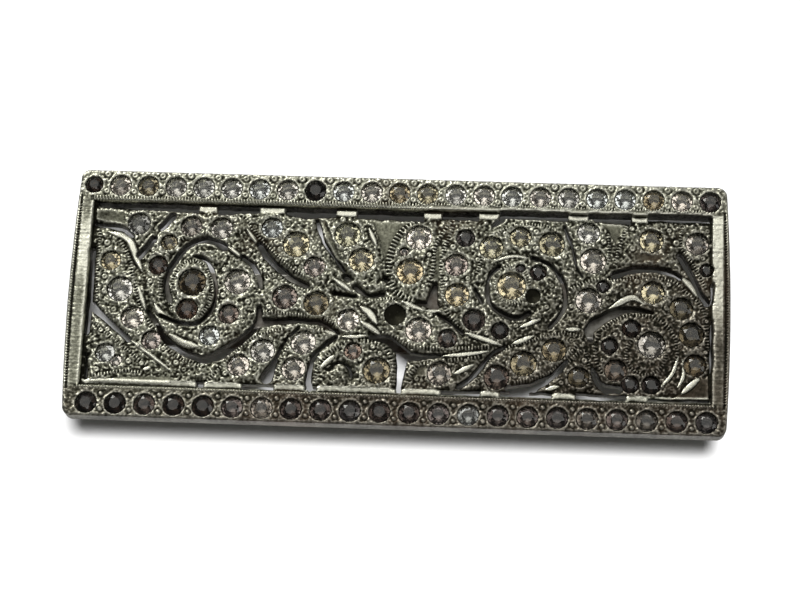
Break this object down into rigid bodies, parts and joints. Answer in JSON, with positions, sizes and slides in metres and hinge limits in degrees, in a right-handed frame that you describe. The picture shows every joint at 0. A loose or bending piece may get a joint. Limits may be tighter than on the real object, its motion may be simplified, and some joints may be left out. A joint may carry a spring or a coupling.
{
  "type": "barrette",
  "caption": "Flat rectangular hair barrette: openwork cast plate with leaf and scroll relief set with faceted stones, on a hinged spring clip with a pinch catch.",
  "frame": {"origin": "middle of the plate in plan, at the underside of the closed clip arm", "axes": "+X along the length with the clip hinge at -X, +Y across the plate towards the top row of stones, +Z out of the decorated face"},
  "size_m": [0.071, 0.0274, 0.0112],
  "materials": {
    "antique_casting": "antique silver wash, blackened in the recesses and worn bright on the high edges",
    "spring_steel": "nickel-plated strip, dulled and lightly scratched",
    "pin_steel": "plain turned wire ends, slightly dark",
    "crystal": "foil-backed faceted glass, slightly dulled",
    "amber_glass": "foil-backed glass whose foil has yellowed",
    "rose_glass": "foil-backed glass with a faint rose-brown cast",
    "smoky_glass": "foil-backed glass whose foil has gone dark"
  },
  "bodies": {
    "barrette": {"cast_plate": "antique_casting", "clip_base": "spring_steel", "hinge_pin": "pin_steel", "tension_bow": "spring_steel", "catch_saddle": "spring_steel", "catch_rivet": "pin_steel", "clip_rivets": "pin_steel", "top_row_clear_stones": "crystal", "top_row_amber_stones": "amber_glass", "top_row_smoky_stones": "smoky_glass", "bottom_row_smoky_stones": "smoky_glass", "bottom_row_clear_stones": "crystal", "left_clear_stones": "crystal", "left_amber_stones": "amber_glass", "left_rose_stones": "rose_glass", "centre_clear_stones": "crystal", "centre_amber_stones": "amber_glass", "centre_rose_stones": "rose_glass", "centre_smoky_stones": "smoky_glass", "right_clear_stones": "crystal", "right_amber_stones": "amber_glass", "right_smoky_stones": "smoky_glass"},
    "arm": {"clasp_arm": "spring_steel"},
    "upper_wing": {"catch_wing_upper": "spring_steel"},
    "lower_wing": {"catch_wing_lower": "spring_steel"}
  },
  "joints": [
    {"name": "arm_hinge", "type": "hinge", "parent": "barrette", "child": "arm", "pos_m": [-0.0275, 0, 0.0069], "axis": [0, 1, 0], "range_deg": [0, 90]},
    {"name": "upper_wing_pinch", "type": "hinge", "parent": "barrette", "child": "upper_wing", "pos_m": [0.0272, 0.00205, 0.00795], "axis": [-1, 0, 0], "range_deg": [0, 10], "stiffness_Nm_per_rad": 0.02},
    {"name": "lower_wing_pinch", "type": "hinge", "parent": "barrette", "child": "lower_wing", "pos_m": [0.0272, -0.00205, 0.00795], "axis": [1, 0, 0], "range_deg": [0, 10], "stiffness_Nm_per_rad": 0.02}
  ]
}
